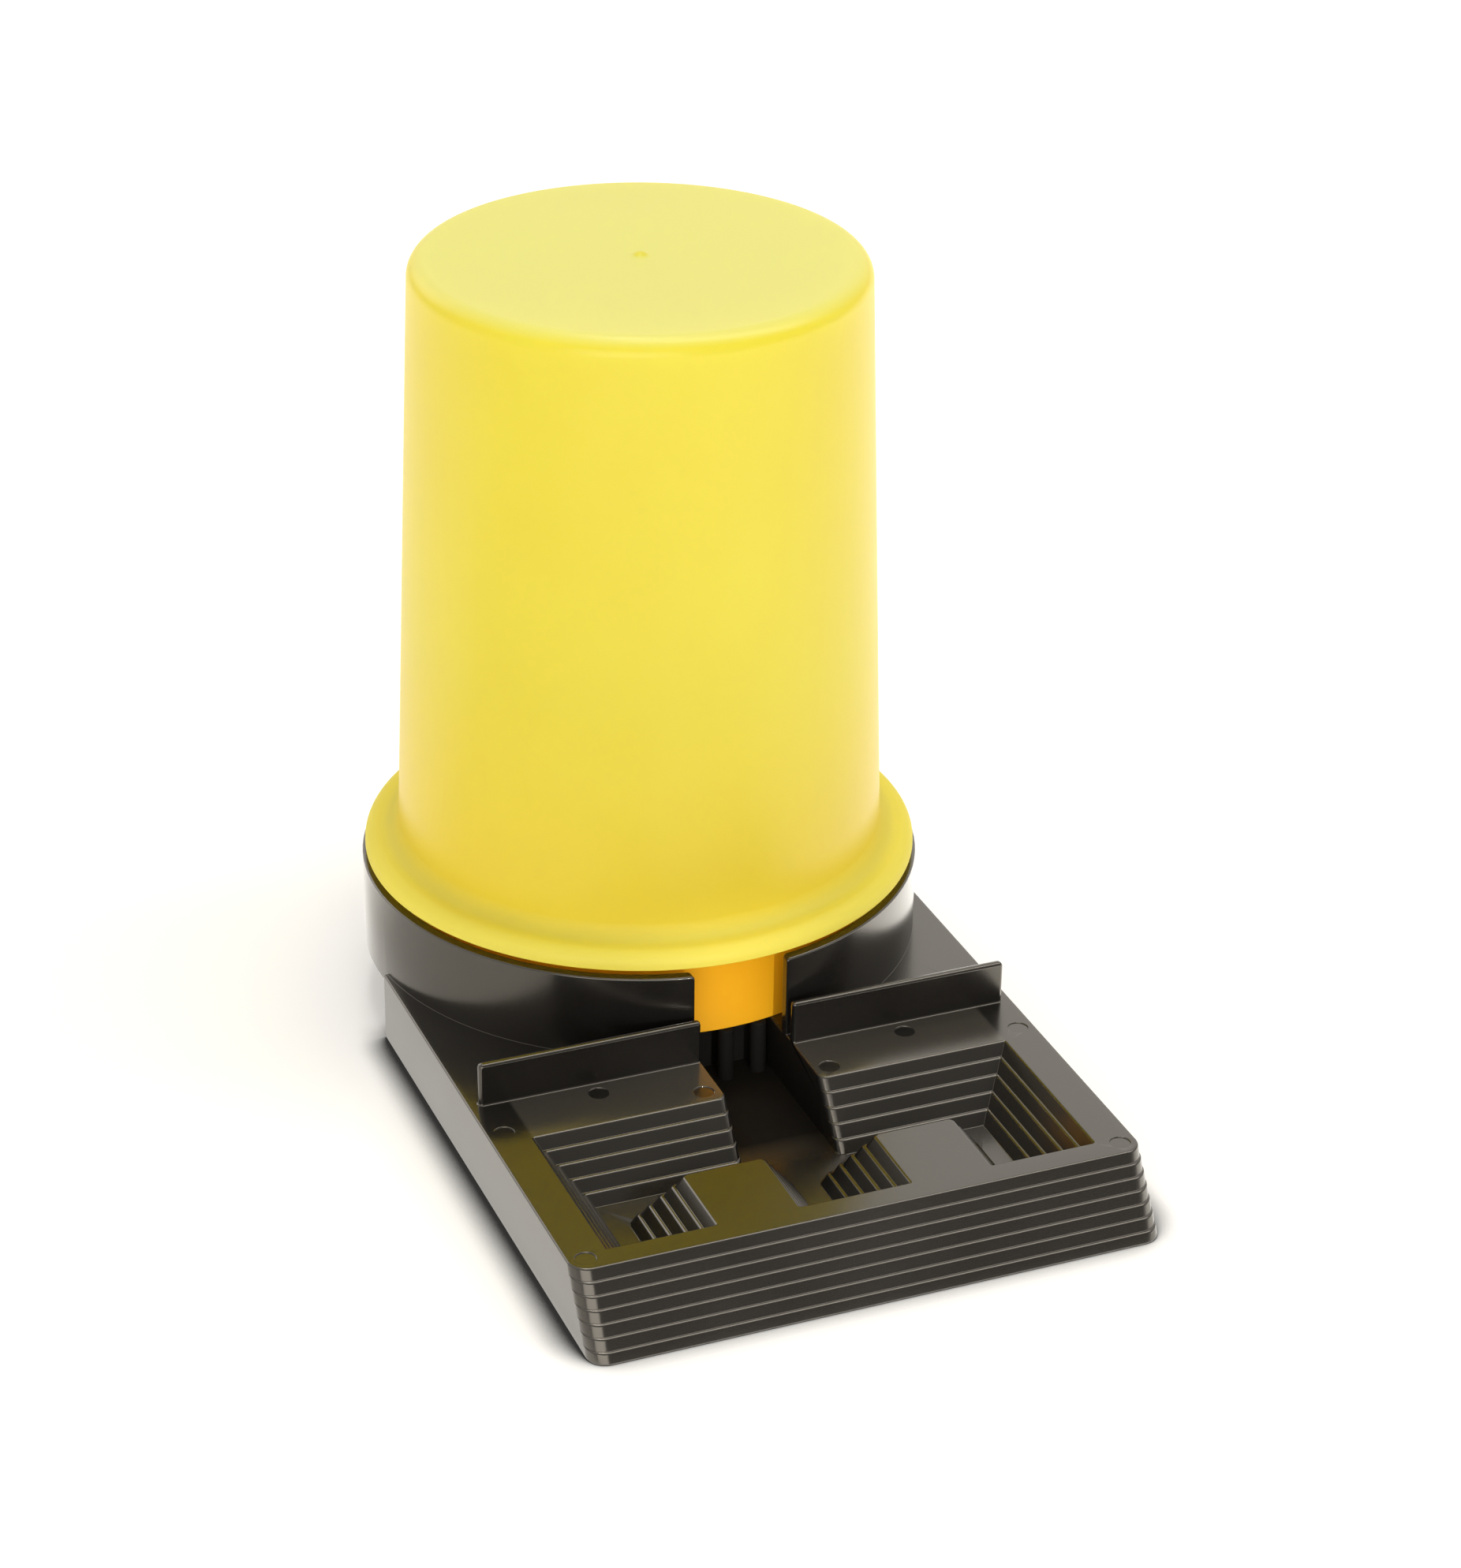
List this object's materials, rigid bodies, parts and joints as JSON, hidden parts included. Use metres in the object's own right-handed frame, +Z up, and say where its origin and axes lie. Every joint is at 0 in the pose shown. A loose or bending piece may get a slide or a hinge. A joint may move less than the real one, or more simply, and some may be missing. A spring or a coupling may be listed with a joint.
{
  "type": "hive entrance drinker",
  "caption": "Gravity drinker for a beehive: an inverted pot stands in the round dish of a moulded tray whose ribbed tongue, with a stepped trough and stop fins, slides into the hive entrance.",
  "frame": {"origin": "on the ground under the middle of the object's box", "axes": "+Z up, -Y along the tongue into the hive, +Y towards the dish, +X to the right when looking along +Y"},
  "size_m": [0.121, 0.1948, 0.1687],
  "materials": {
    "tray_plastic": "satin black injection moulding",
    "pot_plastic": "translucent yellow, smooth"
  },
  "bodies": {
    "tray": {"base_tray": "tray_plastic"},
    "pot": {"reservoir": "pot_plastic"}
  },
  "joints": [
    {"name": "reservoir_lift", "type": "slide", "parent": "tray", "child": "pot", "axis": [0, 0, 1], "range_m": [0, 0.06]}
  ]
}
